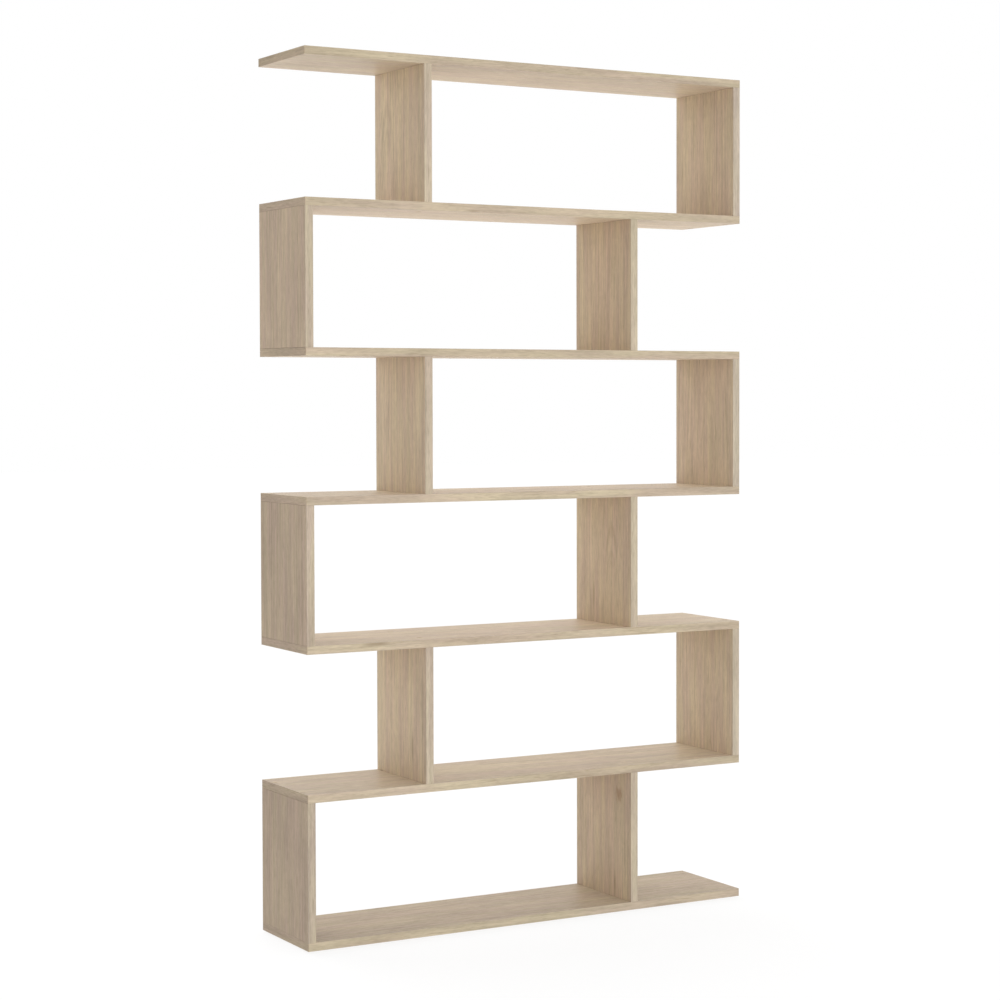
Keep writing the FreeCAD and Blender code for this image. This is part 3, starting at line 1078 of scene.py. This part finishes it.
bpy.ops.object.select_all(action="DESELECT")
bpy.ops.mesh.primitive_plane_add(size=bracket_width, location=leg_middle)
bracket = bpy.context.object
bracket.name = "bent_wall_bracket"
bpy.ops.object.transform_apply(location=True, rotation=True, scale=True)
bpy.ops.object.mode_set(mode="EDIT")
leg_share = (bend_y - bracket_low.y) / bracket_width
bpy.ops.transform.resize(value=(1, leg_share, 1), center_override=leg_middle)
bpy.ops.mesh.select_mode(type="EDGE")
bpy.ops.mesh.select_all(action="DESELECT")
bpy.ops.object.mode_set(mode="OBJECT")
for edge in bracket.data.edges:
    ends = [bracket.data.vertices[end].co for end in edge.vertices]
    edge.select = all(end.y > bend_y - hairline for end in ends)
bpy.ops.object.mode_set(mode="EDIT")
bend_middle = (bracket_x, bend_y, bend_z)
bpy.ops.mesh.spin(steps=bend_steps, angle=math.pi / 2, center=bend_middle, axis=(1, 0, 0))
drop = (0, 0, bracket_low.z - bend_z)
bpy.ops.mesh.extrude_region_move(TRANSFORM_OT_translate={"value": drop})
bpy.ops.object.mode_set(mode="OBJECT")
print("bracket reaches down to", round(min(v.co.z for v in bracket.data.vertices), 4))

# %% Round the bracket's corners and give it its thickness
corner_radius = 5.0
corner_steps = 6
steel_thickness = 2.0

bpy.ops.object.mode_set(mode="EDIT")
bpy.ops.mesh.select_mode(type="VERT")
bpy.ops.mesh.select_all(action="DESELECT")
bpy.ops.object.mode_set(mode="OBJECT")
for corner in bracket.data.vertices:
    at_wall_tip = corner.co.z < bracket_low.z + hairline
    corner.select = at_wall_tip or corner.co.y < bracket_low.y + hairline
bpy.ops.object.mode_set(mode="EDIT")
bpy.ops.mesh.bevel(affect="VERTICES", offset=corner_radius * millimetre, segments=corner_steps)
bpy.ops.mesh.select_all(action="SELECT")
bpy.ops.mesh.remove_doubles(threshold=hairline)
bpy.ops.object.mode_set(mode="OBJECT")
top_leg = min(bracket.data.polygons, key=lambda face: face.center.y)
if top_leg.normal.z < 0:
    bpy.ops.object.mode_set(mode="EDIT")
    bpy.ops.mesh.flip_normals()
    bpy.ops.object.mode_set(mode="OBJECT")
apply_modifier(bracket, "SOLIDIFY", thickness=steel_thickness * millimetre, offset=-1.0)
print("bracket faces before its holes:", len(bracket.data.polygons))

# %% Punch the bracket's holes
screw_spacing = 14.0
hole_margin = 11.0
screw_hole = 2.05
wall_hole = 3.0
punch_length = 10.0
punch_sides = 32
edge_rounding = 0.25
rounding_angle = math.radians(40)

hole_y = bracket_low.y + hole_margin * millimetre
hole_z = bracket_low.z + hole_margin * millimetre
screw_xs = [bracket_x + side * screw_spacing / 2 * millimetre for side in (-1, 1)]
punches = [((x, hole_y, bracket_high.z), (0, 0, 0), screw_hole) for x in screw_xs]
punches.append(((bracket_x, bracket_high.y, hole_z), (math.pi / 2, 0, 0), wall_hole))
for place, turn, radius in punches:
    bpy.ops.object.select_all(action="DESELECT")
    punch = {"radius": radius * millimetre, "depth": punch_length * millimetre}
    bpy.ops.mesh.primitive_cylinder_add(vertices=punch_sides, location=place, rotation=turn, **punch)
    cut_away(bracket, bpy.context.object)
rounding = {"width": edge_rounding * millimetre, "segments": 2, "limit_method": "ANGLE"}
apply_modifier(bracket, "BEVEL", angle_limit=rounding_angle, **rounding)
set_copies(bracket, "wall_bracket", [(0.0, 0.0, 0.0, 0.0)], zinc)

# %% [markdown]
# ## Bracket screws
# Two small pan-head screws hold the bracket up against the shelf. The domed head is a stack of
# rings, a cross of two wedges is cut into it for the driver, and a fine thread is wound round the
# shank.

# %% Model a bracket screw
pan_top = -4.2
pan_seat = -2.0
pan_radius = 3.4
pan_core = 1.1
pan_dome = ((pan_top, 1.4), (-4.1, 2.1), (-3.8, 2.7), (-3.3, 3.2), (-2.7, pan_radius))
pan_shank = ((pan_seat, pan_radius), (pan_seat, pan_core), (9.5, pan_core), (12.0, 0.15))
cross_length = 3.6
cross_width = 0.8
cross_depth = 1.3
fine_ridge = 0.38
fine_pitch = 1.2
fine_turns = 8

pan_screw = turn_piece("pan_head_bracket_screws", pan_dome + pan_shank)
for turn in (0, math.pi / 2):
    bpy.ops.object.select_all(action="DESELECT")
    on_dome = {"location": (0, 0, pan_top * millimetre), "rotation": (0, 0, turn)}
    bpy.ops.mesh.primitive_cube_add(size=millimetre, **on_dome)
    wedge = bpy.context.object
    wedge.scale = (cross_length, cross_width, 2 * cross_depth)
    bpy.ops.object.transform_apply(location=True, rotation=True, scale=True)
    cut_away(pan_screw, wedge)
fine_thread = wind_thread(pan_core, 0.0, fine_ridge, fine_pitch, fine_turns)
pan_screw = join_pieces([pan_screw, fine_thread])
at_bracket = [(x, hole_y, bracket_high.z, 0.0) for x in screw_xs]
set_copies(pan_screw, "bracket_screws", at_bracket, zinc)
